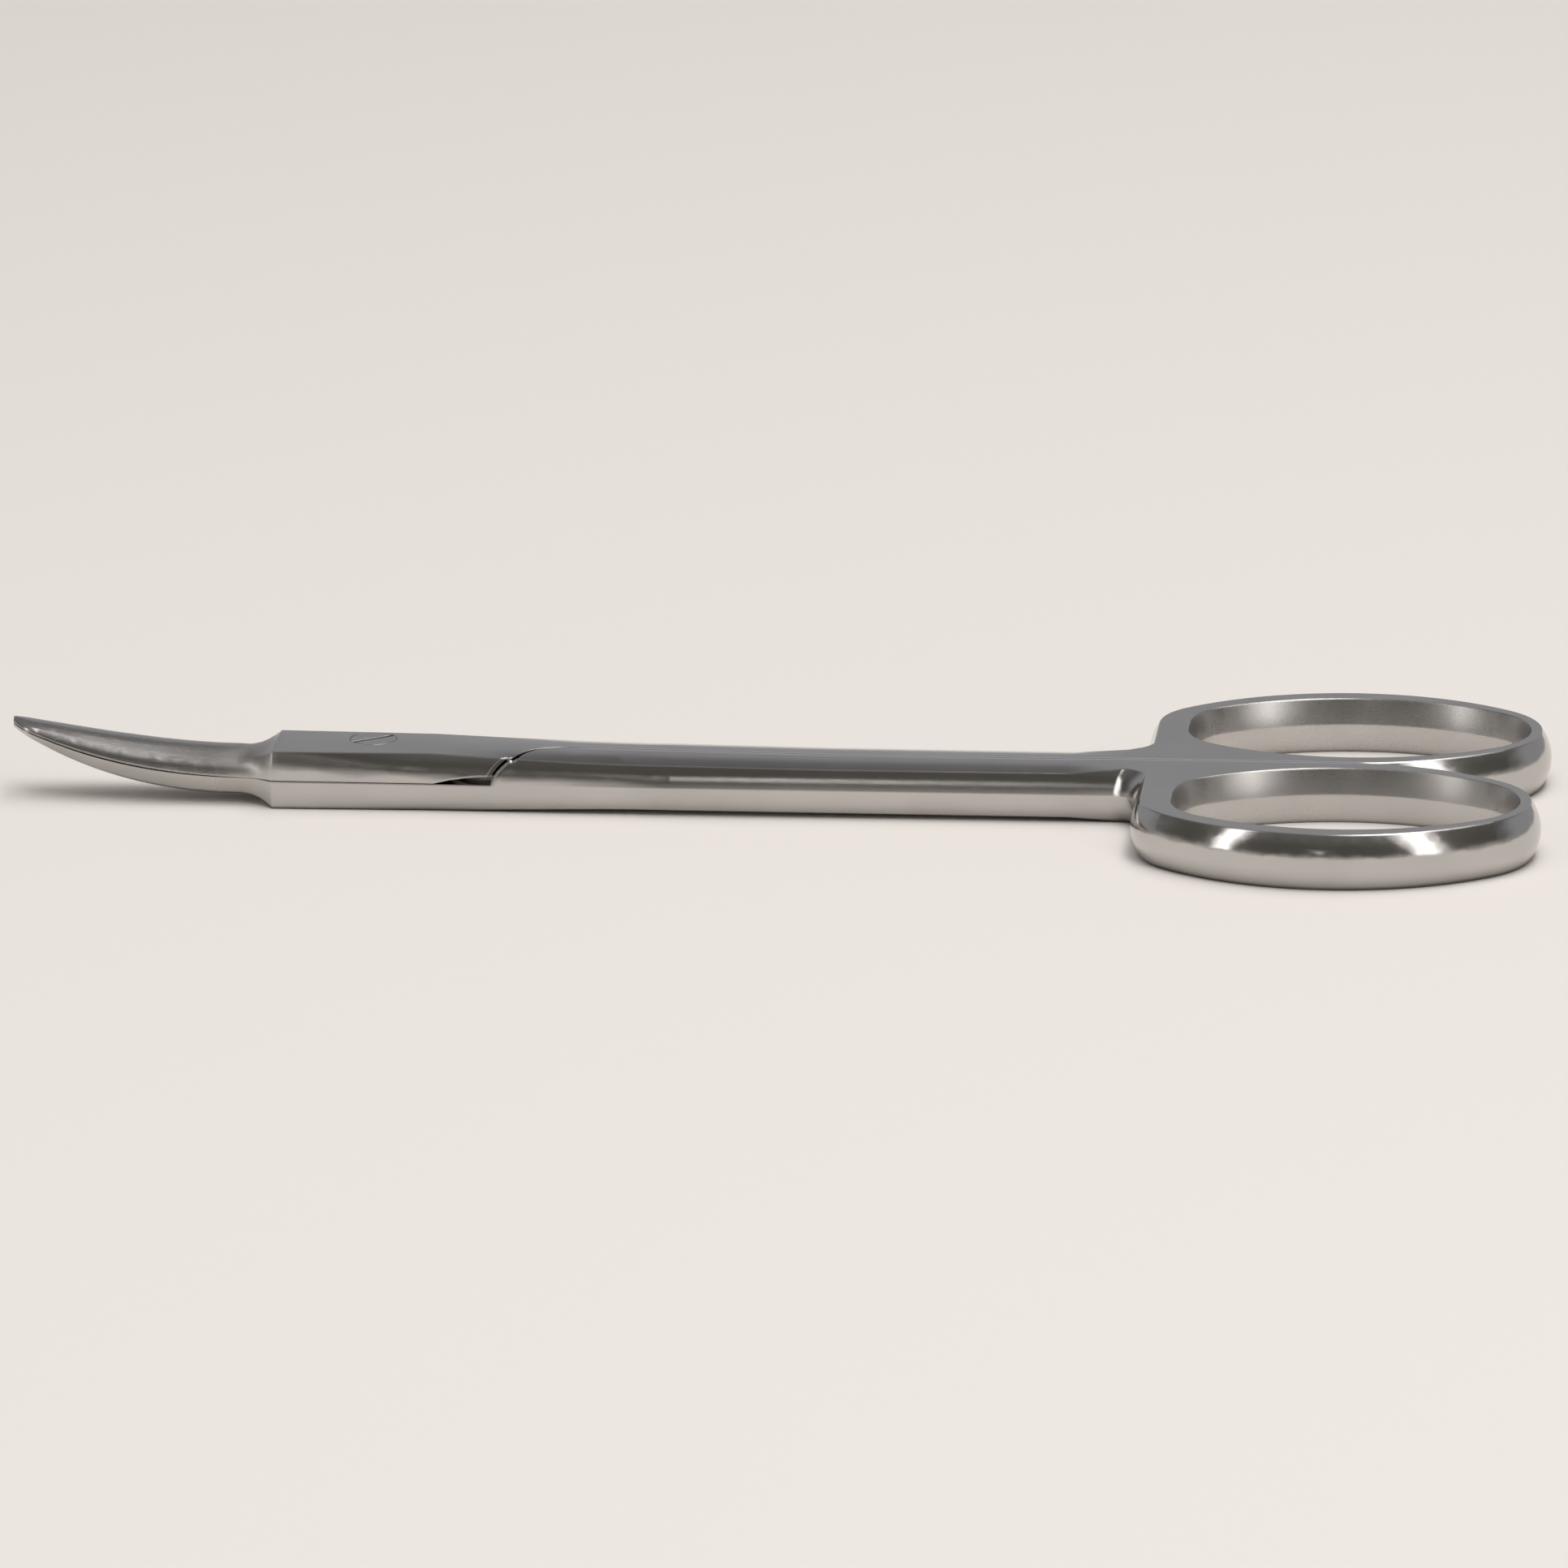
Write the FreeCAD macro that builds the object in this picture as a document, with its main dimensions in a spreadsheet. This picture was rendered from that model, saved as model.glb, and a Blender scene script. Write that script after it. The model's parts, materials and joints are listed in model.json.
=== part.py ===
import FreeCAD, Part
import Sketcher
import os

# Curved crown scissors, closed and lying flat, in millimetres.
# +X runs from the blade tips to the finger rings, +Z is up, and the two shanks meet at y = 0.
# The upper half carries the upper blade and the far ring (+Y), the lower half the near ring (-Y).

SIZES = {
    # lengths along X
    "overall_length": 120.0,
    "blade_length": 17.9,
    "shoulder_length": 2.8,
    "pivot_from_tip": 28.2,
    "joint_back_from_pivot": 4.8,
    "step_from_pivot": 15.7,
    "taper_end_from_pivot": 23.8,
    "shank_level_from_pivot": 36.0,
    "shank_top_power": 1.3,
    # lap joint
    "joint_thickness": 4.7,
    "joint_half_width": 3.6,
    "joint_side_radius": 7.0,
    "joint_back_side_radius": 4.0,
    "joint_crown_radius": 60.0,
    "lap_gap": 0.06,
    "parting_gap": 0.06,
    "step_radius": 4.0,
    "step_turn": 72.0,
    "step_fillet": 0.5,
    "step_exit": 20.0,
    "lap_edge_radius": 4.6,
    "lap_edge_turn": 66.0,
    "lap_edge_fillet": 0.35,
    "lap_edge_exit": 24.0,
    "relief_reach": 5.8,
    "relief_length": 4.8,
    "relief_height": 0.65,
    "relief_radius": 18.0,
    # shanks
    "shank_front_half_width": 3.8,
    "shank_back_half_width": 3.5,
    "shank_side_radius": 4.7,
    "shank_side_lean": 6.5,
    "shank_crown_radius": 15.0,
    "shank_top_relief": 0.09,
    "shank_bottom_relief": 0.12,
    "runout_length": 5.4,
    # finger rings, measured on the flat face
    "ring_thickness": 4.4,
    "ring_face_length": 30.04,
    "ring_face_width": 20.6,
    "ring_bulge": 0.76,
    "ring_side_fullness": 0.877,
    "ring_end_fullness": 1.076,
    "ring_corner_share": 0.583,
    "rim_end": 0.8,
    "rim_side": 1.56,
    "rim_root": 2.36,
    "hole_side_fullness": 0.934,
    "hole_end_fullness": 1.126,
    "hole_corner_share": 0.595,
    "hole_wall_radius": 8.0,
    "hole_wall_lean": 0.0875,
    "flare_radius": 2.8,
    "flare_bite": 0.1,
    # blades
    "blade_curve_radius": 47.5,
    "blade_hollow": 2.0,
    "blade_root_half_width": 2.8,
    "blade_tip_half_width": 0.5,
    "blade_root_thickness": 1.9,
    "blade_tip_thickness": 0.42,
    "blade_taper_power": 1.1,
    "edge_setback": 0.15,
    "bevel_share": 0.72,
    "bevel_radius": 40.0,
    # pivot screw
    "pivot_offset": 1.0,
    "screw_head_radius": 1.85,
    "screw_head_depth": 0.8,
    "screw_journal_radius": 1.15,
    "screw_thread_radius": 0.95,
    "screw_recess": 0.04,
    "screw_end_recess": 0.15,
    "screw_running_clearance": 0.04,
    "screw_thread_clearance": 0.02,
    "slot_width": 0.35,
    "slot_depth": 0.4,
    "slot_angle": 37.0,
}


def add_sizes(doc):
    """The driving dimensions, one named cell each."""
    sheet = doc.addObject("Spreadsheet::Sheet", "dims")
    for row, (name, value) in enumerate(SIZES.items(), start=1):
        sheet.set("A%d" % row, name)
        sheet.set("B%d" % row, str(value))
        sheet.setAlias("B%d" % row, name)
    doc.recompute()
    return sheet


# Places along X, as expressions of the driving dimensions
X_END = "(dims.overall_length / 2)"
X_TIP = "(-dims.overall_length / 2)"
X_ROOT = f"({X_TIP} + dims.blade_length)"
X_SHOULDER = f"({X_ROOT} + dims.shoulder_length)"
X_PIVOT = f"({X_TIP} + dims.pivot_from_tip)"
X_JOINT_BACK = f"({X_PIVOT} + dims.joint_back_from_pivot)"
X_STEP = f"({X_PIVOT} + dims.step_from_pivot)"
X_SHANK = f"({X_PIVOT} + dims.taper_end_from_pivot)"
X_LEVEL = f"({X_PIVOT} + dims.shank_level_from_pivot)"
X_FACE_END = f"({X_END} - dims.ring_bulge)"
X_FACE_RING = f"({X_FACE_END} - dims.ring_face_length)"
X_RING = f"({X_FACE_RING} - dims.ring_bulge)"
X_RUNOUT = f"({X_RING} - dims.runout_length)"
X_WEB = f"({X_FACE_RING} + dims.rim_root / 2)"

# Heights: the laps of the joint meet at half the joint's thickness
Z_LAP = "(dims.joint_thickness / 2)"
Z_JOINT = "dims.joint_thickness"
Z_RING = "dims.ring_thickness"
Z_SHANK_TOP = "(dims.ring_thickness - dims.shank_top_relief)"

# Room that cutting shapes take beyond the metal
CLEAR = 0.4
BEYOND = 1.0
CUTTER_HALF_WIDTH = 7.0
CUTTER_HEIGHT = 9.0
FAR = 40.0
RUNOUT_SPARE = 0.06
NEARLY_FLAT = 40

# Cutting profiles that turn about the pivot stay this far from its axis
AXIS_SPARE = 0.5

# The blade's spine starts this much above the line where the blades meet
SPINE_START = 0.001


def value_of(obj, expression):
    result = obj.evalExpression(expression)
    return float(getattr(result, "Value", result))


def origin_plane(body, role):
    return [f for f in body.Origin.OriginFeatures if f.Role == role][0]


def new_sketch(body, name, role, offset=None):
    sketch = body.newObject("Sketcher::SketchObject", name)
    sketch.AttachmentSupport = [(origin_plane(body, role), "")]
    sketch.MapMode = "FlatFace"
    if offset is not None:
        sketch.setExpression("AttachmentOffset.Base.z", offset)
    return sketch


def arc_crown(start, end, radius, turn):
    """Middle of the short arc from start to end; turn is +1 when it runs counter-clockwise."""
    chord = end - start
    middle = (start + end) * 0.5
    normal = FreeCAD.Vector(-chord.y, chord.x, 0).normalize()
    height = max(radius ** 2 - (chord.Length / 2) ** 2, 0.0) ** 0.5
    centre = middle + normal * (height * turn)
    return centre + (middle - centre).normalize() * radius


def closed_profile(sketch, corners, sides, turn=1):
    """A closed outline. Each corner is a pair of expressions; each side, from its corner to the next, is
    None where it is straight, or (radius expression, +1 or -1) where it is an arc."""
    points = []
    for x_text, y_text in corners:
        points.append(FreeCAD.Vector(value_of(sketch, x_text), value_of(sketch, y_text), 0))
    starts, ends = [], []
    for index, side in enumerate(sides):
        here, there = points[index], points[(index + 1) % len(points)]
        if side is None:
            geo = sketch.addGeometry(Part.LineSegment(here, there), False)
            starts.append((geo, 1))
            ends.append((geo, 2))
            continue
        way = side[1] * turn
        radius = value_of(sketch, side[0])
        crown = arc_crown(here, there, radius, way)
        if way > 0:
            geo = sketch.addGeometry(Part.Arc(here, crown, there), False)
            starts.append((geo, 1))
            ends.append((geo, 2))
        else:
            geo = sketch.addGeometry(Part.Arc(there, crown, here), False)
            starts.append((geo, 2))
            ends.append((geo, 1))
    for index in range(len(sides)):
        follower = starts[(index + 1) % len(sides)]
        sketch.addConstraint(Sketcher.Constraint("Coincident", *ends[index], *follower))
    for (geo, which), point, (x_text, y_text) in zip(starts, points, corners):
        at = sketch.addConstraint(Sketcher.Constraint("DistanceX", -1, 1, geo, which, point.x))
        sketch.setExpression("Constraints[%d]" % at, x_text)
        at = sketch.addConstraint(Sketcher.Constraint("DistanceY", -1, 1, geo, which, point.y))
        sketch.setExpression("Constraints[%d]" % at, y_text)
    for (geo, which), side in zip(starts, sides):
        if side is not None:
            radius = value_of(sketch, side[0])
            at = sketch.addConstraint(Sketcher.Constraint("Radius", geo, radius))
            sketch.setExpression("Constraints[%d]" % at, side[0])
    return sketch


def loft(body, name, sections, cut=False, ruled=False):
    kind = "PartDesign::SubtractiveLoft" if cut else "PartDesign::AdditiveLoft"
    feature = body.newObject(kind, name)
    feature.Profile = sections[0]
    feature.Sections = sections[1:]
    feature.Ruled = ruled
    return feature


def pocket(body, name, profile, length, reverse=False, both_ways=False):
    feature = body.newObject("PartDesign::Pocket", name)
    feature.Profile = profile
    feature.Type = "Length"
    feature.Length = length
    feature.Midplane = both_ways
    feature.Reversed = reverse
    return feature


# Cross sections of the closed pair, in planes across X
def side_width(half_width, side_radius, lean):
    """The bar's half width as a function of height from the lap: an arc that leans in by an angle."""
    def width_at(height):
        return (f"({half_width} - {side_radius} * cos({lean} * 1deg)"
                f" + sqrt({side_radius} ^ 2 - ({height} + {side_radius} * sin({lean} * 1deg)) ^ 2))")
    return width_at


def rim_point(width_at, apex, crown):
    """Where the side meets a crowned face, as half width and height from the lap."""
    width = width_at(apex)
    height = apex
    for _ in range(4):
        height = f"({apex} - {crown} + sqrt({crown} ^ 2 - {width} ^ 2))"
        width = width_at(height)
    return width, height


def crowned_section(body, name, x_text, side, top, crown, bottom, belly):
    """A bar with domed top and bottom and two full sides that meet in an arris at the lap's height."""
    width_at = side_width(*side)
    high_y, high_z = rim_point(width_at, f"({top} - {Z_LAP})", crown)
    low_y, low_z = rim_point(width_at, f"({Z_LAP} - {bottom})", belly)
    high_z, low_z = f"({Z_LAP} + {high_z})", f"({Z_LAP} - {low_z})"
    corners = [(low_y, low_z), (side[0], Z_LAP), (high_y, high_z), (f"-{high_y}", high_z),
               (f"-{side[0]}", Z_LAP), (f"-{low_y}", low_z)]
    flank = (side[1], 1)
    sketch = new_sketch(body, name, "YZ_Plane", x_text)
    return closed_profile(sketch, corners, [flank, flank, (crown, 1), flank, flank, (belly, 1)])


def flat_section(body, name, x_text, side):
    """The same bar with flat top and bottom, as thick as the rings."""
    width_at = side_width(*side)
    high, low = width_at(f"({Z_RING} - {Z_LAP})"), width_at(Z_LAP)
    corners = [(low, "0"), (side[0], Z_LAP), (high, Z_RING), (f"-{high}", Z_RING),
               (f"-{side[0]}", Z_LAP), (f"-{low}", "0")]
    flank = (side[1], 1)
    sketch = new_sketch(body, name, "YZ_Plane", x_text)
    return closed_profile(sketch, corners, [flank, flank, None, flank, flank, None])


JOINT_SIDE = ("dims.joint_half_width", "dims.joint_side_radius", "0")


def shank_half_width(x_text):
    share = f"(({x_text} - {X_SHANK}) / ({X_WEB} - {X_SHANK}))"
    return between("dims.shank_front_half_width", "dims.shank_back_half_width", share)


def between(first, second, share):
    return f"({first} + {share} * ({second} - {first}))"


def handle_blank(body):
    joint_back = ("dims.joint_half_width", "dims.joint_back_side_radius", "0")
    crown, relief = "dims.shank_crown_radius", "dims.shank_bottom_relief"
    joint_crown = "dims.joint_crown_radius"
    rise = f"({Z_JOINT} - {Z_SHANK_TOP})"

    def top_at(x_text):
        return (f"({Z_SHANK_TOP} + {rise} * (({X_LEVEL} - {x_text}) / ({X_LEVEL} - {X_JOINT_BACK}))"
                " ^ dims.shank_top_power)")

    def shank_side(x_text):
        return (shank_half_width(x_text), "dims.shank_side_radius", "dims.shank_side_lean")

    def step_side(share):
        lean = f"({share} * dims.shank_side_lean)"
        return (between(joint_back[0], "dims.shank_front_half_width", share),
                between(joint_back[1], "dims.shank_side_radius", share), lean)

    x_early, x_late = between(X_JOINT_BACK, X_SHANK, 0.25), between(X_JOINT_BACK, X_SHANK, 0.5)
    plan = [
        ("joint_front", X_SHOULDER, JOINT_SIDE, Z_JOINT, joint_crown, "0", joint_crown),
        ("joint_back", X_JOINT_BACK, joint_back, Z_JOINT, joint_crown, "0", joint_crown),
        ("step_early", x_early, step_side(0.25), top_at(x_early), f"(1.5 * {crown})",
         f"(0.2 * {relief})", f"(2 * {crown})"),
        ("step_late", x_late, step_side(0.5), top_at(x_late), f"(1.05 * {crown})",
         f"(0.5 * {relief})", f"(1.2 * {crown})"),
        ("shank_front", X_SHANK, shank_side(X_SHANK), top_at(X_SHANK), crown, relief, crown),
        ("shank_level", X_LEVEL, shank_side(X_LEVEL), Z_SHANK_TOP, crown, relief, crown),
        ("shank_back", X_RUNOUT, shank_side(X_RUNOUT), Z_SHANK_TOP, crown, relief, crown),
    ]
    s = [crowned_section(body, name + "_section", *rest) for name, *rest in plan]
    loft(body, "joint_blank", s[0:2])
    loft(body, "step_blank", s[1:5])
    loft(body, "shank_front_blank", s[4:6])
    loft(body, "shank_blank", s[5:7])
    start = flat_section(body, "root_front_section", X_RUNOUT, shank_side(X_RUNOUT))
    end = flat_section(body, "root_back_section", X_WEB, shank_side(X_WEB))
    loft(body, "root_blank", [start, end])


# Finger ring, drawn in planes across Z
def oval(sketch, side, grow, x_left, x_right, half_width, fullness, to_line):
    """An egg of tangent arcs, its left end squarer. grow widens it everywhere by one distance."""
    middle = "(dims.ring_face_width / 2)"
    half_length = f"(({x_right} - {x_left}) / 2)"
    side_r = f"({fullness}_side_fullness * {half_length} ^ 2 / {half_width})"
    end_r = f"({fullness}_end_fullness * {half_width} ^ 2 / {half_length})"
    corner_r = f"({fullness}_corner_share * {half_width})"
    x_end = f"({x_right} - {end_r})"
    run = f"sqrt(({side_r} - {end_r}) ^ 2 - ({side_r} - {half_width}) ^ 2)"
    x_side = f"({x_end} - {run})"
    y_side = f"({middle} + {half_width} - {side_r})"
    x_corner = f"({x_left} + {corner_r})"
    rise = f"sqrt(({side_r} - {corner_r}) ^ 2 - ({x_side} - {x_corner}) ^ 2)"
    y_corner = f"({y_side} + {rise})"
    end_x = f"({x_end} + ({end_r} + {grow}) * {run} / ({side_r} - {end_r}))"
    end_y = f"(({end_r} + {grow}) * ({side_r} - {half_width}) / ({side_r} - {end_r}))"
    out = f"(({corner_r} + {grow}) / ({side_r} - {corner_r}))"
    turn_x = f"({x_corner} - {out} * ({x_side} - {x_corner}))"
    turn_y = f"({y_corner} + {out} * {rise})"
    left = f"({x_left} - {grow})"
    big = (f"({side_r} + {grow})", 1)
    end = (f"({end_r} + {grow})", 1)
    corner = (f"({corner_r} + {grow})", 1)
    if to_line:
        floor = f"({middle} - {half_width} - {grow})"
        corners = [(left, floor), (x_side, floor)]
        sides = [None, big]
    else:
        corners = [(left, f"(2 * {middle} - {y_corner})"), (turn_x, f"(2 * {middle} - {turn_y})")]
        sides = [corner, big]
    corners += [(end_x, f"({middle} - {end_y})"), (end_x, f"({middle} + {end_y})"), (turn_x, turn_y),
                (left, y_corner)]
    sides += [end, big, corner, None]
    corners = [(x, f"{side} * {y}") for x, y in corners]
    return closed_profile(sketch, corners, sides, side)


def ring_growth(height):
    """How far the ring's outer wall stands out from its flat faces' outline at a height."""
    return f"(dims.ring_bulge * (1 - (2 * {height} / dims.ring_thickness - 1) ^ 2))"


def ring_blank(body, side):
    sketches = []
    for name, height in (("low", "0"), ("middle", f"({Z_RING} / 2)"), ("high", Z_RING)):
        sketch = new_sketch(body, f"ring_{name}_outline", "XY_Plane", height)
        oval(sketch, side, ring_growth(height), X_FACE_RING, X_FACE_END,
             "(dims.ring_face_width / 2)", "dims.ring", True)
        sketches.append(sketch)
    loft(body, "ring_blank", sketches)


def hole_growth(drop):
    """The hole's wall leans out from an arris at the lap's height; drop is the distance from it."""
    top = f"({Z_RING} - {Z_LAP})"
    return (f"(dims.hole_wall_lean * ({drop} - {top}) + (({drop}) ^ 2 - {top} ^ 2)"
            " / (2 * dims.hole_wall_radius))")


def finger_hole(body, side):
    middle = None
    for name, way, reach in (("upper", 1, f"({Z_RING} - {Z_LAP} + {CLEAR})"),
                             ("lower", -1, f"({Z_LAP} + {CLEAR})")):
        sketches = []
        for label, share in (("arris", 0), ("middle", 0.5), ("rim", 1)):
            if label == "arris" and middle is not None:
                sketches.append(middle)
                continue
            drop = f"({share} * {reach})"
            sketch = new_sketch(body, f"hole_{name}_{label}", "XY_Plane", f"({Z_LAP} + {way} * {drop})")
            oval(sketch, side, hole_growth(drop), f"({X_FACE_RING} + dims.rim_root)",
                 f"({X_FACE_END} - dims.rim_end)", "(dims.ring_face_width / 2 - dims.rim_side)",
                 "dims.hole", False)
            sketches.append(sketch)
            if label == "arris":
                middle = sketch
        loft(body, f"finger_hole_{name}", sketches, cut=True)


def flare(body, side):
    """The hollow corner where the shank's side sweeps out into the ring."""
    width_at = side_width(shank_half_width(X_RING), "dims.shank_side_radius", "dims.shank_side_lean")
    middle = None
    for name, way, reach in (("upper", 1, f"({Z_RING} - {Z_LAP})"), ("lower", -1, Z_LAP)):
        sketches = []
        for label, share in (("arris", 0), ("middle", 0.5), ("face", 1)):
            if label == "arris" and middle is not None:
                sketches.append(middle)
                continue
            drop = f"({share} * {reach})"
            height = f"({Z_LAP} + {way} * {drop})"
            wall = f"({X_FACE_RING} - {ring_growth(height)} + dims.flare_bite)"
            shank = f"({width_at(drop)} - dims.flare_bite)"
            top = f"({shank} + dims.flare_radius)"
            start = f"({wall} - dims.flare_radius)"
            inside = "(dims.rim_side / 2)"
            corners = [(start, inside), (X_WEB, inside), (X_WEB, top), (wall, top), (start, shank)]
            corners = [(x, f"{side} * {y}") for x, y in corners]
            sketch = new_sketch(body, f"flare_{name}_{label}", "XY_Plane", height)
            closed_profile(sketch, corners, [None, None, None, ("dims.flare_radius", -1), None], side)
            sketches.append(sketch)
            if label == "arris":
                middle = sketch
        loft(body, f"flare_{name}", sketches)


# Where the crowned shanks meet the rings
def crown_section(body, name, x_text, apex, radius, way):
    """The space over (way = 1) or under (way = -1) an arc across the pair whose top is at apex."""
    half = CUTTER_HALF_WIDTH
    fall = f"({radius} - sqrt({radius} ^ 2 - {half} ^ 2))"
    edge = f"({apex} - {way} * {fall})"
    away = f"({Z_LAP} + {way * CUTTER_HEIGHT})"
    corners = [(f"-{half}", edge), (f"{half}", edge), (f"{half}", away), (f"-{half}", away)]
    sketch = new_sketch(body, name, "YZ_Plane", x_text)
    return closed_profile(sketch, corners, [(radius, -1), None, None, None], way)


def crown_runouts(body):
    """The shank's domed faces run out into the flat faces of the ring."""
    crown = "dims.shank_crown_radius"
    plan = (("top", 1, Z_SHANK_TOP, f"({Z_RING} + {RUNOUT_SPARE})"),
            ("bottom", -1, "dims.shank_bottom_relief", f"-{RUNOUT_SPARE}"))
    for name, way, apex, end_apex in plan:
        start = crown_section(body, f"{name}_runout_front", X_RUNOUT, apex, crown, way)
        flat = f"({NEARLY_FLAT} * {crown})"
        end = crown_section(body, f"{name}_runout_back", X_RING, end_apex, flat, way)
        loft(body, f"{name}_runout", [start, end], cut=True, ruled=True)


# Blades
def blade_half_width(share):
    return ("(dims.blade_tip_half_width + (dims.blade_root_half_width - dims.blade_tip_half_width)"
            f" * sqrt(1 - {share} ^ 3))")


def blade_thickness(share):
    return ("(dims.blade_tip_thickness + (dims.blade_root_thickness - dims.blade_tip_thickness)"
            f" * (1 - {share} ^ 3) ^ dims.blade_taper_power)")


def blade_height(share):
    """Height of the surface where the two blades meet: an arc that rises from the root."""
    return (f"({Z_LAP} + dims.blade_curve_radius"
            f" - sqrt(dims.blade_curve_radius ^ 2 - ({share} * dims.blade_length) ^ 2))")


def blade_corners(width, thick):
    """Inner face, bevel at the cutting edge, domed back and spine, about the line where the blades meet."""
    chord = "sqrt(1 - dims.bevel_share ^ 2)"
    bevel_y, bevel_z = f"({width} * {chord})", f"({thick} * dims.bevel_share)"
    edge = f"({width} - dims.edge_setback * {width} / dims.blade_root_half_width)"
    below = f"({edge} + {CLEAR} * ({edge} - {bevel_y}) / {bevel_z})"
    corners = [(f"-{width}", f"-{CLEAR}"), (below, f"-{CLEAR}"), (bevel_y, bevel_z),
               (f"-{bevel_y}", bevel_z), (f"-{width}", f"{SPINE_START}")]
    dome = f"(({bevel_y} ^ 2 + ({thick} - {bevel_z}) ^ 2) / (2 * ({thick} - {bevel_z})))"
    inset = f"({width} - {bevel_y})"
    spine = f"(({bevel_z} ^ 2 + {inset} ^ 2) / (2 * {inset}))"
    return corners, [None, ("dims.bevel_radius", 1), (dome, 1), (spine, 1), None]


def joint_corners():
    """The lap's own section in the same corners as the blade's."""
    wide = "dims.joint_half_width"
    face, high = rim_point(side_width(*JOINT_SIDE), Z_LAP, "dims.joint_crown_radius")
    corners = [(f"-{wide}", f"-{CLEAR}"), (wide, f"-{CLEAR}"), (face, high), (f"-{face}", high),
               (f"-{wide}", f"{SPINE_START}")]
    return corners, [None, ("dims.joint_side_radius", 1), ("dims.joint_crown_radius", 1),
                     ("dims.joint_side_radius", 1), None]


def blade_section(body, name, x_text, height, corners, sides, layer):
    """layer +1 is the upper blade; -1 is the lower one, which is the same section turned over."""
    placed = [(f"{layer} * {y}", f"({height} + {layer} * {z})") for y, z in corners]
    sketch = new_sketch(body, name, "YZ_Plane", x_text)
    return closed_profile(sketch, placed, sides)


def blade(body, layer):
    root = blade_corners(blade_half_width(0), blade_thickness(0))
    block = joint_corners()
    front = blade_section(body, "shoulder_section", X_SHOULDER, Z_LAP, *block, layer)
    mixed = [tuple(between(r, b, 0.25) for r, b in zip(*pair)) for pair in zip(root[0], block[0])]
    mixed_sides = [None if r is None else (between(r[0], b[0], 0.12), 1)
                   for r, b in zip(root[1], block[1])]
    waist_x = f"(({X_SHOULDER} + {X_ROOT}) / 2)"
    waist = blade_section(body, "waist_section", waist_x, Z_LAP, mixed, mixed_sides, layer)
    sections = []
    for number, share in enumerate((0.0, 0.4, 0.7, 0.88, 0.96, 1.0)):
        corners, sides = blade_corners(blade_half_width(share), blade_thickness(share))
        x_text = f"({X_ROOT} - {share} * dims.blade_length)"
        sections.append(blade_section(body, f"blade_section_{number}", x_text, blade_height(share),
                                      corners, sides, layer))
    loft(body, "shoulder", [front, waist, sections[0]])
    loft(body, "blade", sections[:4])
    loft(body, "blade_nose", sections[3:])


def pivot_axis(sketch, way):
    """The pivot's axis as a construction line, drawn upwards (way = 1) or downwards (way = -1)."""
    start = FreeCAD.Vector(value_of(sketch, X_PIVOT), -BEYOND, 0)
    end = start + FreeCAD.Vector(0, way * 2 * BEYOND, 0)
    axis = sketch.addGeometry(Part.LineSegment(start, end), True)
    sketch.addConstraint(Sketcher.Constraint("Vertical", axis))
    at = sketch.addConstraint(Sketcher.Constraint("DistanceX", -1, 1, axis, 1, start.x))
    sketch.setExpression("Constraints[%d]" % at, X_PIVOT)


def lap_surface(body, layer):
    """Clears the other half's layer from the blade: flat at the joint, then an arc turned about the pivot,
    so the blades slide past each other at every opening."""
    sketch = new_sketch(body, "blade_meeting_profile", "XZ_Plane", "-dims.pivot_offset")
    gap = f"({layer} * dims.lap_gap / 2)"
    flat = f"({Z_LAP} + {gap})"
    curve = "dims.blade_curve_radius"
    beyond = f"({X_TIP} - {CLEAR})"
    run = f"({X_ROOT} - {beyond})"
    tip_height = f"({flat} + {curve} - sqrt({curve} ^ 2 - {run} ^ 2))"
    near = f"({X_PIVOT} - {AXIS_SPARE})"
    away = f"({Z_LAP} - {layer * CUTTER_HEIGHT})"
    corners = [(near, flat), (X_ROOT, flat), (beyond, tip_height), (beyond, away), (near, away)]
    closed_profile(sketch, corners, [None, (f"({curve} + {layer} * dims.blade_hollow)", -1)] + [None] * 3)
    pivot_axis(sketch, 1)
    groove = body.newObject("PartDesign::Groove", "blade_meeting_surface")
    groove.Profile = sketch
    groove.ReferenceAxis = (sketch, ["Axis0"])
    groove.Angle = 180
    groove.Midplane = True
    return groove


def step_curve(side, parting, radius, turn, fillet, leave):
    """Corners and sides of an S from the parting line out past the joint's side at -side: a wide arc that
    starts along the parting line, a small one back, and a straight run out."""
    turn_x = f"({X_STEP} - {radius} * sin({turn} * 1deg))"
    turn_y = f"({radius} * (1 - cos({turn} * 1deg)))"
    leave_x = (f"({X_STEP} - ({radius} + {fillet}) * sin({turn} * 1deg)"
               f" - {fillet} * sin({leave} * 1deg))")
    leave_y = (f"({radius} - ({radius} + {fillet}) * cos({turn} * 1deg)"
               f" + {fillet} * cos({leave} * 1deg))")
    out_y = f"(dims.joint_half_width + {BEYOND})"
    out_x = f"({leave_x} - ({out_y} - {leave_y}) / tan({leave} * 1deg))"
    points = [(X_STEP, "0"), (turn_x, turn_y), (leave_x, leave_y), (out_x, out_y)]
    corners = [(x, f"({parting} - {side} * {y})") for x, y in points]
    return corners, [(radius, side), (fillet, -side), None]


STEP_WALL = ("dims.step_radius", "dims.step_turn", "dims.step_fillet", "dims.step_exit")
LAP_EDGE = ("dims.lap_edge_radius", "dims.lap_edge_turn", "dims.lap_edge_fillet", "dims.lap_edge_exit")


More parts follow.
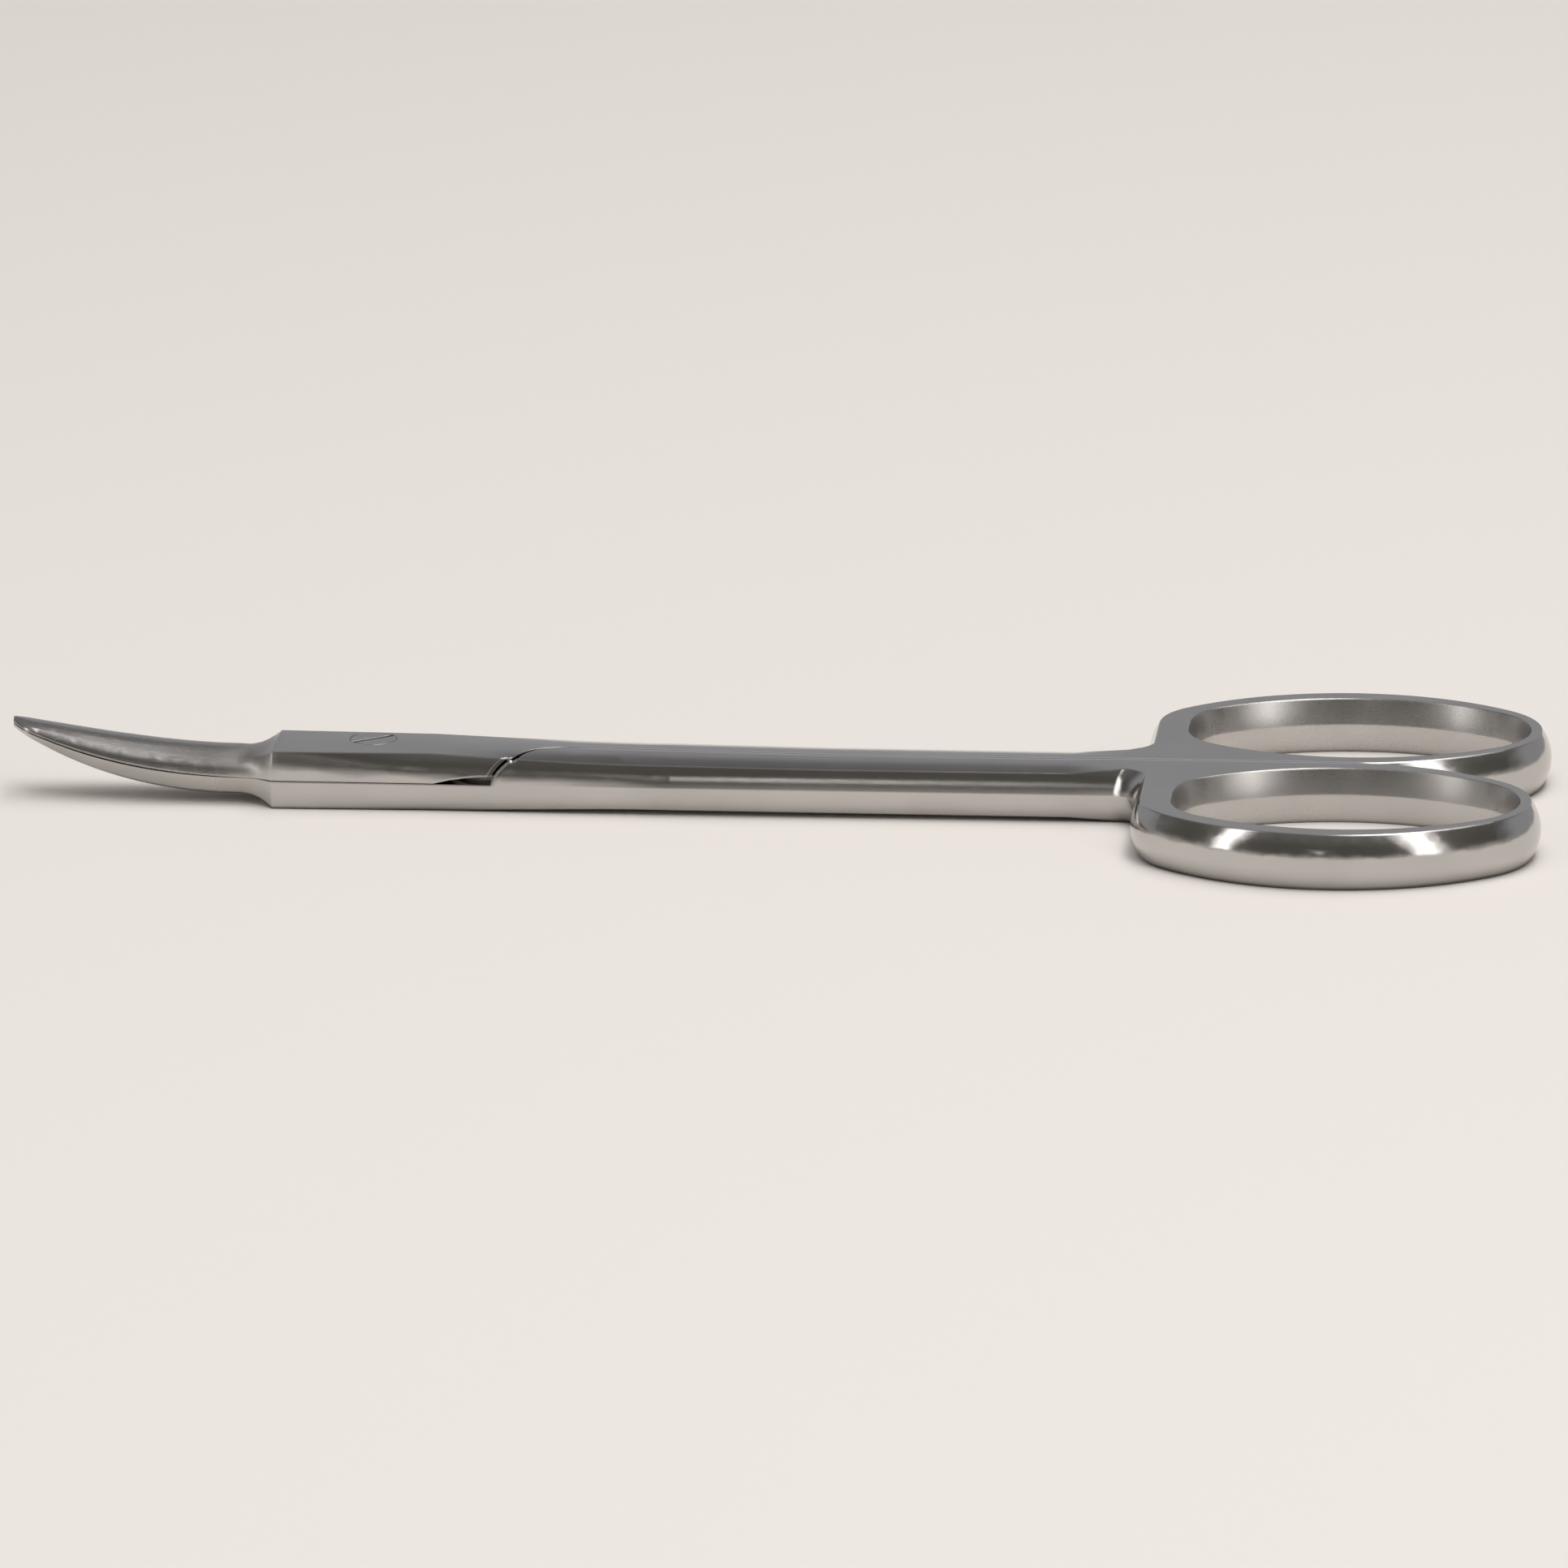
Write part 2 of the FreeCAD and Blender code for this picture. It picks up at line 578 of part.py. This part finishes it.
def laps(body, side, layer):
    """Leaves each half its own layer of the joint and its own side of the shanks."""
    parting = f"({side} * dims.parting_gap / 2)"
    # the other shank's place, through the whole height
    corners, sides = step_curve(side, parting, *LAP_EDGE)
    far_y = f"{-side * FAR}"
    past_end, before_pivot = f"({X_END} + {BEYOND})", f"({X_PIVOT} - {BEYOND})"
    start = [(past_end, far_y), (past_end, parting)]
    end = [(corners[-1][0], far_y)]
    sketch = new_sketch(body, "other_shank_outline", "XY_Plane")
    closed_profile(sketch, start + corners + end, [None, None] + sides + [None, None])
    pocket(body, "other_shank_place", sketch, 4 * CUTTER_HEIGHT, both_ways=True)
    # the other layer of the joint, up to this half's own step
    corners, sides = step_curve(-side, parting, *STEP_WALL)
    start = [(past_end, far_y), (past_end, parting)]
    end = [(corners[-1][0], f"{side * FAR}"), (before_pivot, f"{side * FAR}"), (before_pivot, far_y)]
    sketch = new_sketch(body, "other_lap_outline", "XY_Plane", f"({Z_LAP} + {layer} * dims.lap_gap / 2)")
    closed_profile(sketch, start + corners + end, [None, None] + sides + [None] * 4)
    pocket(body, "other_lap_place", sketch, 2 * CUTTER_HEIGHT, reverse=(layer < 0))
    # a hollow under the lap's free edge, open towards the other half's step
    root_x = f"({X_STEP} - dims.relief_reach)"
    deep = f"({Z_LAP} + {layer} * dims.relief_height)"
    corners = [(f"({root_x} - dims.relief_length)", Z_LAP), (X_STEP, Z_LAP), (X_STEP, deep),
               (root_x, deep)]
    sketch = new_sketch(body, "step_relief_profile", "XZ_Plane", f"(-1 * {parting})")
    closed_profile(sketch, corners, [None, None, None, ("dims.relief_radius", 1)], layer)
    pocket(body, "step_relief", sketch, 2 * CUTTER_HALF_WIDTH, reverse=(side > 0))


def half(doc, name, side, layer):
    body = doc.addObject("PartDesign::Body", name)
    body.Label = name
    handle_blank(body)
    ring_blank(body, side)
    flare(body, side)
    blade(body, layer)
    finger_hole(body, side)
    crown_runouts(body)
    laps(body, side, layer)
    lap_surface(body, layer)
    doc.recompute()
    return body


def turned_profile(body, name, radii_and_heights):
    """A profile to turn about the pivot: (radius, height) corners, the first and last on the axis."""
    sketch = new_sketch(body, name, "XZ_Plane", "-dims.pivot_offset")
    corners = [(f"({X_PIVOT} + {radius})", height) for radius, height in radii_and_heights]
    closed_profile(sketch, corners, [None] * len(corners))
    pivot_axis(sketch, -1)
    return sketch


Z_HEAD = f"({Z_JOINT} - dims.screw_recess)"
Z_NECK = f"({Z_HEAD} - dims.screw_head_depth)"


def screw_seat(body):
    """Countersunk bore of the upper half, a running fit on the screw."""
    gap = "dims.screw_running_clearance"
    slope = "((dims.screw_head_radius - dims.screw_journal_radius) / dims.screw_head_depth)"
    wide = f"(dims.screw_head_radius + {gap} + {CLEAR} * {slope})"
    tight = f"(dims.screw_journal_radius + {gap})"
    below, above = f"-{BEYOND}", f"({Z_HEAD} + {CUTTER_HEIGHT})"
    corners = [("0", below), (tight, below), (tight, Z_NECK), (wide, f"({Z_HEAD} + {CLEAR})"),
               (wide, above), ("0", above)]
    groove = body.newObject("PartDesign::Groove", "screw_seat")
    groove.Profile = turned_profile(body, "screw_seat_profile", corners)
    groove.ReferenceAxis = (groove.Profile[0], ["Axis0"])
    groove.Angle = 360


def thread_bore(body):
    sketch = new_sketch(body, "thread_bore_outline", "XY_Plane")
    centre = FreeCAD.Vector(value_of(sketch, X_PIVOT), value_of(sketch, "dims.pivot_offset"), 0)
    radius = "(dims.screw_thread_radius + dims.screw_thread_clearance)"
    circle = Part.Circle(centre, FreeCAD.Vector(0, 0, 1), value_of(sketch, radius))
    geo = sketch.addGeometry(circle, False)
    for kind, args, text in (("DistanceX", (-1, 1, geo, 3, centre.x), X_PIVOT),
                             ("DistanceY", (-1, 1, geo, 3, centre.y), "dims.pivot_offset"),
                             ("Radius", (geo, circle.Radius), radius)):
        at = sketch.addConstraint(Sketcher.Constraint(kind, *args))
        sketch.setExpression("Constraints[%d]" % at, text)
    pocket(body, "thread_bore", sketch, 4 * CUTTER_HEIGHT, both_ways=True)


def screw(doc):
    """Countersunk screw with one slot; its thread runs in the lower half."""
    body = doc.addObject("PartDesign::Body", "pivot_screw")
    body.Label = "pivot_screw"
    lap = f"({Z_LAP} - dims.lap_gap / 2)"
    corners = [("0", "dims.screw_end_recess"), ("dims.screw_thread_radius", "dims.screw_end_recess"),
               ("dims.screw_thread_radius", lap), ("dims.screw_journal_radius", lap),
               ("dims.screw_journal_radius", Z_NECK), ("dims.screw_head_radius", Z_HEAD), ("0", Z_HEAD)]
    turned = body.newObject("PartDesign::Revolution", "screw_form")
    turned.Profile = turned_profile(body, "screw_profile", corners)
    turned.ReferenceAxis = (turned.Profile[0], ["Axis0"])
    turned.Angle = 360
    doc.recompute()
    half_slot, reach = "(dims.slot_width / 2)", f"(dims.screw_head_radius + {BEYOND})"
    along, across = "cos(dims.slot_angle * 1deg)", "sin(dims.slot_angle * 1deg)"
    corners = []
    for a, c in ((-1, -1), (1, -1), (1, 1), (-1, 1)):
        corners.append((f"({X_PIVOT} + {a} * {reach} * {along} - {c} * {half_slot} * {across})",
                        f"(dims.pivot_offset + {a} * {reach} * {across} + {c} * {half_slot} * {along})"))
    sketch = new_sketch(body, "slot_outline", "XY_Plane", f"({Z_HEAD} - dims.slot_depth)")
    closed_profile(sketch, corners, [None] * 4)
    pocket(body, "slot", sketch, CUTTER_HEIGHT, reverse=True)
    doc.recompute()
    return body


def check(doc, bodies):
    for item in doc.Objects:
        bad = [state for state in item.State if state in ("Invalid", "Error")]
        if bad:
            raise RuntimeError("%s failed: %s" % (item.Name, item.getStatusString()))
    for body in bodies:
        if body.Shape.isNull() or not body.Shape.isValid() or len(body.Shape.Solids) != 1:
            raise RuntimeError("%s is not one valid solid" % body.Label)


def main():
    doc = FreeCAD.newDocument("crown_scissors")
    add_sizes(doc)
    upper = half(doc, "upper_half", 1, 1)
    lower = half(doc, "lower_half", -1, -1)
    screw_seat(upper)
    thread_bore(lower)
    doc.recompute()
    bodies = [upper, lower, screw(doc)]
    check(doc, bodies)
    os.makedirs("parts", exist_ok=True)
    for body in bodies:
        body.Shape.exportStep(os.path.join("parts", body.Label + ".step"))


main()
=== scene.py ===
import json
import math

import bpy
from mathutils import Matrix, Vector


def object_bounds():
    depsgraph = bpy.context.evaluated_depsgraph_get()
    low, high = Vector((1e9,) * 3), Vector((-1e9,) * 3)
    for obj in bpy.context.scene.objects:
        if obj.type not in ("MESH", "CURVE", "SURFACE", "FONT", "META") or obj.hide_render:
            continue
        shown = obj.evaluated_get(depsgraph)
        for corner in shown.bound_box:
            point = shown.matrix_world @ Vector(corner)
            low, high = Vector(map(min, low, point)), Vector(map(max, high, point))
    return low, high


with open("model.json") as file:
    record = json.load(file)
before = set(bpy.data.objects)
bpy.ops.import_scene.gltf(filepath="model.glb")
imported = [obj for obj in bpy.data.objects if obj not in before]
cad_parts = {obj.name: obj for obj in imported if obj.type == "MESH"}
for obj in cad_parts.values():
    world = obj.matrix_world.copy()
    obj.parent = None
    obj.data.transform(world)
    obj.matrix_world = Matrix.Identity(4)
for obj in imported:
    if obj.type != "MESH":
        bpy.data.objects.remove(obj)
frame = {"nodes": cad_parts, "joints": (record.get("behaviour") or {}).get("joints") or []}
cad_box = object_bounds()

# Camera, as read from the photograph: a long lens about a metre away
AZIMUTH_DEG = 5.7
ELEVATION_DEG = 15.6
ROLL_DEG = -0.5
DISTANCE = 1.0
TARGET = Vector((0.00057, 0.0, 0.00186))
FOCAL_PX = 15792.0
IMAGE_PX = 1932.0
SENSOR_MM = 36.0
NEAREST, FARTHEST = 0.01, 20.0

# Light levels of the studio around the scissors: a bright strip along the horizon, dark above
FRONT_LOW = (0.50, 0.475, 0.45)
FRONT_HIGH = (0.105, 0.100, 0.088)
BACK_LOW = (0.36, 0.36, 0.375)
BACK_HIGH = (0.13, 0.128, 0.13)
OVERHEAD = (0.23, 0.222, 0.225)

# Where one level turns into the next: by height, from 0 at the horizon to 1 overhead, and by depth
FRONT_TURN = (0.0, 0.21)
BACK_TURN = (0.36, 0.62)
OVERHEAD_TURN = (0.45, 0.95)
FRONT_TO_BACK = (-0.25, 0.35)

# Soft boxes have a bright core and a dimmer, wider rim just behind it
BOX_COLOUR = (1.0, 0.97, 0.96)
FILL_COLOUR = (1.0, 1.0, 1.0)
CORE_SHARE = 0.65
RIM_WIDER, RIM_LONGER = 1.8, 1.1
RIM_BEHIND = 0.01

# Floor: pale paper, faintly uneven
FLOOR_SIZE = 8.0
FLOOR_COLOUR = (0.80, 0.765, 0.725)
FLOOR_SHADE = 0.985
FLOOR_CLOUDS = {"scale": 3.0}

# Steel: its colour and roughness, and the patterns of polishing and use, in noise per metre
HALF_STEEL = {"colour": (0.56, 0.545, 0.525), "roughness": 0.12}
SCREW_STEEL = {"colour": (0.55, 0.54, 0.525), "roughness": 0.16}
WHEEL_MARKS = {"scale": 900.0, "stretch": (1.0, 14.0, 14.0), "detail": 4.0, "rough": 0.65}
SMEARS = {"scale": 60.0, "stretch": (1.0, 2.5, 2.5), "detail": 3.0}
SCRATCHES = {"scale": 420.0, "stretch": (0.35, 9.0, 9.0), "detail": 1.0}
CLOUDS = {"scale": 160.0}
CLOUD_SHADE = 0.93
SHALLOW_MARK, DEEP_MARK = 0.8, 1.25
MARK_STRENGTH, MARK_DEPTH = 0.05, 0.00002
SMEAR_ROUGHNESS = 0.05
SCRATCH_ROUGHNESS = 0.06
SCRATCH_WIDTH = 0.006

# Edges: rounded by polishing, with a painted highlight on their corners and painted shade in the gaps
CREASE_DEG = 30
EDGE_SAMPLES = 4
EDGE_RADIUS = 0.00022
HIGHLIGHT_EDGE_RADIUS = 0.0002
HIGHLIGHT_EDGE_SHARE = 0.35
GAP_SHADE_REACH = 0.0005
HIGHLIGHT_STEEL = (0.86, 0.85, 0.84)
GAP_SHADE_STEEL = (0.05, 0.045, 0.04)
STEP_SHADE_STEEL = (0.09, 0.085, 0.08)

# Where the two halves meet: a painted highlight on the broken edge along y = 0, and painted shade on the
# faces of the lap's step
PIVOT_X = frame["joints"][0]["pos_m"][0]
STEP_START, STEP_END = PIVOT_X + 0.004, PIVOT_X + 0.0162
STEP_FADE = 0.0005
PARTING_EDGE = 0.0004
PARTING_HIGHLIGHT_SHARE = 0.9
PARTING_FADE = 0.001

# Less polished places: the blade up to the joint, most of all its hollow there, and the finger holes
HOLLOW_START, HOLLOW_MIDDLE = PIVOT_X - 0.0132, PIVOT_X - 0.0094
BLADE_END, JOINT_START = PIVOT_X - 0.0084, PIVOT_X - 0.0067
BLADE_ROUGHNESS = 0.10
HOLLOW_ROUGHNESS = 0.12
RING_X = cad_box[1][0] - 0.0158
RING_Y = cad_box[1][1] - 0.01105
HOLE_START, HOLE_FULL = RING_X - 0.0165, RING_X - 0.0155
HOLE_ROUGHNESS = 0.16


def around(azimuth_deg, elevation_deg, distance):
    """A place around the scissors. Azimuth 0 is the near side, growing to the right."""
    azimuth, elevation = math.radians(azimuth_deg), math.radians(elevation_deg)
    return distance * Vector((math.sin(azimuth) * math.cos(elevation),
                              -math.cos(azimuth) * math.cos(elevation),
                              math.sin(elevation)))


def add_camera():
    """The camera at the photograph's viewing angle, tilted a little about its own axis."""
    back = around(AZIMUTH_DEG, ELEVATION_DEG, 1.0)
    right = (-back).cross(Vector((0, 0, 1))).normalized()
    up = right.cross(-back)
    roll = math.radians(ROLL_DEG)
    tilted_right = math.cos(roll) * right + math.sin(roll) * up
    tilted_up = -math.sin(roll) * right + math.cos(roll) * up
    place = Matrix((tilted_right, tilted_up, back)).transposed().to_4x4()
    place.translation = TARGET + DISTANCE * back
    data = bpy.data.cameras.new("view")
    data.sensor_width = SENSOR_MM
    data.lens = SENSOR_MM * FOCAL_PX / IMAGE_PX
    data.clip_start = NEAREST
    data.clip_end = FARTHEST
    camera = bpy.data.objects.new("view", data)
    camera.matrix_world = place
    bpy.context.scene.collection.objects.link(camera)
    bpy.context.scene.camera = camera


class Graph:
    """A node tree under construction. Each method returns what the next one can take."""

    def __init__(self, tree):
        self.tree = tree
        tree.nodes.clear()

    def add(self, kind, settings=None, **inputs):
        node = self.tree.nodes.new(kind)
        for name, value in (settings or {}).items():
            setattr(node, name, value)
        for name, value in inputs.items():
            self.put(node.inputs[name.replace("_", " ")], value)
        return node

    def put(self, socket, value):
        if isinstance(value, bpy.types.NodeSocket):
            self.tree.links.new(value, socket)
        else:
            socket.default_value = value

    def math(self, operation, a, b=0.0):
        node = self.add("ShaderNodeMath", {"operation": operation})
        self.put(node.inputs[0], a)
        self.put(node.inputs[1], b)
        return node.outputs[0]

    def dot(self, a, b):
        node = self.add("ShaderNodeVectorMath", {"operation": "DOT_PRODUCT"})
        self.put(node.inputs[0], a)
        self.put(node.inputs[1], b)
        return node.outputs["Value"]

    def ramp(self, value, low, high, to_low=0.0, to_high=1.0, smooth=False):
        node = self.add("ShaderNodeMapRange", {"interpolation_type": "SMOOTHSTEP" if smooth else "LINEAR"})
        for name, given in (("Value", value), ("From Min", low), ("From Max", high),
                            ("To Min", to_low), ("To Max", to_high)):
            self.put(node.inputs[name], given)
        return node.outputs["Result"]

    def mix(self, factor, a, b):
        node = self.add("ShaderNodeMix", {"data_type": "RGBA"})
        for name, given in (("Factor", factor), ("A", a), ("B", b)):
            if isinstance(given, tuple):
                given = (*given, 1.0)
            self.put(node.inputs[name], given)
        return node.outputs["Result"]

    def noise(self, scale, stretch=(1.0, 1.0, 1.0), detail=2.0, rough=0.5):
        place = self.add("ShaderNodeTexCoord").outputs["Object"]
        mapped = self.add("ShaderNodeMapping", Vector=place, Scale=stretch).outputs["Vector"]
        return self.add("ShaderNodeTexNoise", Vector=mapped, Scale=scale, Detail=detail,
                        Roughness=rough).outputs["Fac"]

    def bevel(self, radius):
        return self.add("ShaderNodeBevel", {"samples": EDGE_SAMPLES}, Radius=radius).outputs["Normal"]


def new_material(name):
    material = bpy.data.materials.new(name)
    material.use_nodes = True
    return material, Graph(material.node_tree)


def place_and_face(g):
    """Where a point of the metal lies, and which way its face looks, by X, Y and Z."""
    place = g.add("ShaderNodeSeparateXYZ", Vector=g.add("ShaderNodeTexCoord").outputs["Object"])
    face = g.add("ShaderNodeSeparateXYZ", Vector=g.add("ShaderNodeTexCoord").outputs["Normal"])
    return place.outputs, face.outputs


def edge_highlight(g):
    """0 on the faces of the metal, rising on its corners: the mask of a painted highlight."""
    face = g.add("ShaderNodeNewGeometry").outputs["Normal"]
    return g.ramp(g.dot(g.bevel(HIGHLIGHT_EDGE_RADIUS), face), 0.99, 0.90, 0.0, HIGHLIGHT_EDGE_SHARE)


def parting_highlight(g):
    """A painted highlight along the long, broken edge of each half, where the two tops meet."""
    place, face = place_and_face(g)
    off_middle = g.math("ABSOLUTE", place["Y"])
    near = g.ramp(off_middle, PARTING_EDGE * 0.5, PARTING_EDGE, PARTING_HIGHLIGHT_SHARE, 0.0)
    behind = g.ramp(place["X"], STEP_END - PARTING_FADE, STEP_END + PARTING_FADE)
    faces_up = g.ramp(face["Z"], 0.8, 0.95)
    return g.math("MULTIPLY", g.math("MULTIPLY", near, behind), faces_up)


def step_shade(g):
    """Painted shade on the sawn faces of the lap's step, dark beside the polished outside."""
    place, face = place_and_face(g)
    after_start = g.ramp(place["X"], STEP_START, STEP_START + STEP_FADE)
    before_end = g.ramp(place["X"], STEP_END, STEP_END + STEP_FADE, 1.0, 0.0)
    faces_along = g.ramp(g.math("ABSOLUTE", face["X"]), 0.2, 0.4)
    return g.math("MULTIPLY", g.math("MULTIPLY", after_start, before_end), faces_along)


def hole_dullness(g):
    """Extra roughness on the walls of the finger holes, which face the middle of their ring."""
    place, face = place_and_face(g)
    in_ring = g.ramp(place["X"], HOLE_START, HOLE_FULL)
    middle_y = g.math("MULTIPLY", g.math("SIGN", place["Y"]), RING_Y)
    along_x = g.math("MULTIPLY", g.math("SUBTRACT", place["X"], RING_X), face["X"])
    along_y = g.math("MULTIPLY", g.math("SUBTRACT", place["Y"], middle_y), face["Y"])
    faces_middle = g.ramp(g.math("ADD", along_x, along_y), -0.004, -0.001, 1.0, 0.0)
    return g.math("MULTIPLY", g.math("MULTIPLY", in_ring, faces_middle), HOLE_ROUGHNESS)


def blade_dullness(g):
    """Extra roughness of the blade, most of all in the hollow before the joint."""
    place, _ = place_and_face(g)
    hollow = g.ramp(place["X"], HOLLOW_START, HOLLOW_MIDDLE, 0.0, HOLLOW_ROUGHNESS, smooth=True)
    before_joint = g.ramp(place["X"], BLADE_END, JOINT_START, 1.0, 0.0, smooth=True)
    return g.math("MULTIPLY", g.math("ADD", hollow, BLADE_ROUGHNESS), before_joint)


def steel_roughness(g, marks, roughness):
    """Polish broken by wheel marks, faint smears and a few hairline scratches."""
    smears = g.ramp(g.noise(**SMEARS), 0.45, 0.8, 0.0, SMEAR_ROUGHNESS, smooth=True)
    off_hairline = g.math("ABSOLUTE", g.math("SUBTRACT", g.noise(**SCRATCHES), 0.5))
    scratches = g.ramp(off_hairline, 0.0, SCRATCH_WIDTH, SCRATCH_ROUGHNESS, 0.0)
    total = g.ramp(marks, 0.3, 0.7, roughness * SHALLOW_MARK, roughness * DEEP_MARK)
    for more in (smears, scratches, hole_dullness(g), blade_dullness(g)):
        total = g.math("ADD", total, more)
    return total


def steel_colour(g, colour):
    """Clouded steel, with painted shade on the step's faces, a painted highlight on the corners and along
    the parting edge, and painted shade in the gaps.
    """
    shaded = tuple(c * CLOUD_SHADE for c in colour)
    tint = g.mix(g.ramp(g.noise(**CLOUDS), 0.35, 0.65), shaded, colour)
    # Painted shade on the faces of the lap's step
    tint = g.mix(step_shade(g), tint, STEP_SHADE_STEEL)
    # Painted highlight on the corners of the metal
    tint = g.mix(edge_highlight(g), tint, HIGHLIGHT_STEEL)
    # Painted highlight along the parting edge
    tint = g.mix(parting_highlight(g), tint, HIGHLIGHT_STEEL)
    # Painted shade in the gaps and crevices between the halves, from ambient occlusion
    around_point = g.add("ShaderNodeAmbientOcclusion", {"samples": EDGE_SAMPLES}, Distance=GAP_SHADE_REACH)
    return g.mix(g.ramp(around_point.outputs["AO"], 0.1, 0.75), GAP_SHADE_STEEL, tint)


def steel(name, colour, roughness):
    material, g = new_material(name)
    marks = g.noise(**WHEEL_MARKS)
    relief = g.add("ShaderNodeBump", Strength=MARK_STRENGTH, Distance=MARK_DEPTH, Height=marks,
                   Normal=g.bevel(EDGE_RADIUS))
    shader = g.add("ShaderNodeBsdfPrincipled", Metallic=1.0, Base_Color=steel_colour(g, colour),
                   Roughness=steel_roughness(g, marks, roughness), Normal=relief.outputs["Normal"])
    g.add("ShaderNodeOutputMaterial", Surface=shader.outputs["BSDF"])
    return material


def paint(node, material):
    for slot in frame["nodes"][node].material_slots:
        slot.material = material


def soften(node):
    """Smooth shading over the curved faces, crisp at the real edges."""
    mesh = frame["nodes"][node].data
    mesh.shade_smooth()
    mesh.set_sharp_from_angle(angle=math.radians(CREASE_DEG))


def add_floor():
    bpy.ops.mesh.primitive_plane_add(size=FLOOR_SIZE, location=(0, 0, 0))
    floor = bpy.context.object
    floor.name = "floor"
    material, g = new_material("floor_paper")
    shaded = tuple(c * FLOOR_SHADE for c in FLOOR_COLOUR)
    paper = g.mix(g.noise(**FLOOR_CLOUDS), shaded, FLOOR_COLOUR)
    lit = g.add("ShaderNodeBsdfDiffuse", Color=paper)
    g.add("ShaderNodeOutputMaterial", Surface=lit.outputs["BSDF"])
    floor.data.materials.append(material)


def add_area(name, place, facing, size, radiance, colour=BOX_COLOUR, mirrored=True):
    """A lamp of one brightness all over. Where it isn't mirrored it lights the floor alone."""
    data = bpy.data.lights.new(name, "AREA")
    data.shape = "RECTANGLE"
    data.size, data.size_y = size
    data.energy = radiance * math.pi * size[0] * size[1]
    data.color = colour
    lamp = bpy.data.objects.new(name, data)
    lamp.location = place
    lamp.rotation_euler = facing.to_track_quat("-Z", "Y").to_euler()
    lamp.visible_glossy = mirrored
    bpy.context.scene.collection.objects.link(lamp)


def add_soft_box(name, place, facing, size, radiance):
    rim_place = place - RIM_BEHIND * facing.normalized()
    rim_size = (size[0] * RIM_WIDER, size[1] * RIM_LONGER)
    add_area(f"{name}_core", place, facing, size, radiance * CORE_SHARE)
    add_area(f"{name}_rim", rim_place, facing, rim_size, radiance * (1.0 - CORE_SHARE))


def add_lamps():
    """A box on each side and one overhead, a small card in front, and a fill for the floor."""
    left, right = around(-50.0, 29.0, 1.1), around(43.0, 31.0, 1.1)
    card, fill = around(-4.5, 17.0, 1.0), around(0.0, 80.0, 1.2)
    above, down = Vector((0.28, 0.0, 1.1)), Vector((0.0, 0.0, -1.0))
    add_soft_box("left_box", left, -left, size=(0.11, 1.0), radiance=2.8)
    add_soft_box("right_box", right, -right, size=(0.17, 1.15), radiance=2.6)
    add_soft_box("top_box", above, down, size=(0.30, 1.5), radiance=4.0)
    add_area("front_card", card, -card, size=(0.055, 0.13), radiance=1.0)
    add_area("fill_box", fill, -fill, size=(0.8, 0.8), radiance=2.4, colour=FILL_COLOUR, mirrored=False)


def add_world():
    """A dim room with a light strip along the horizon, higher behind than in front."""
    world = bpy.data.worlds.new("studio")
    bpy.context.scene.world = world
    world.use_nodes = True
    g = Graph(world.node_tree)
    direction = g.add("ShaderNodeTexCoord").outputs["Generated"]
    split = g.add("ShaderNodeSeparateXYZ", Vector=direction).outputs
    front = g.mix(g.ramp(split["Z"], *FRONT_TURN, smooth=True), FRONT_LOW, FRONT_HIGH)
    back = g.mix(g.ramp(split["Z"], *BACK_TURN, smooth=True), BACK_LOW, BACK_HIGH)
    walls = g.mix(g.ramp(split["Y"], *FRONT_TO_BACK, smooth=True), front, back)
    whole = g.mix(g.ramp(split["Z"], *OVERHEAD_TURN, smooth=True), walls, OVERHEAD)
    shader = g.add("ShaderNodeBackground", Color=whole, Strength=1.0)
    g.add("ShaderNodeOutputWorld", Surface=shader.outputs["Background"])


add_camera()
add_world()
add_floor()
add_lamps()

for half in ("upper_half", "lower_half"):
    soften(half)
    paint(half, steel("satin_steel", **HALF_STEEL))
soften("pivot_screw")
paint("pivot_screw", steel("screw_steel", **SCREW_STEEL))

bpy.context.scene.view_settings.view_transform = "Standard"
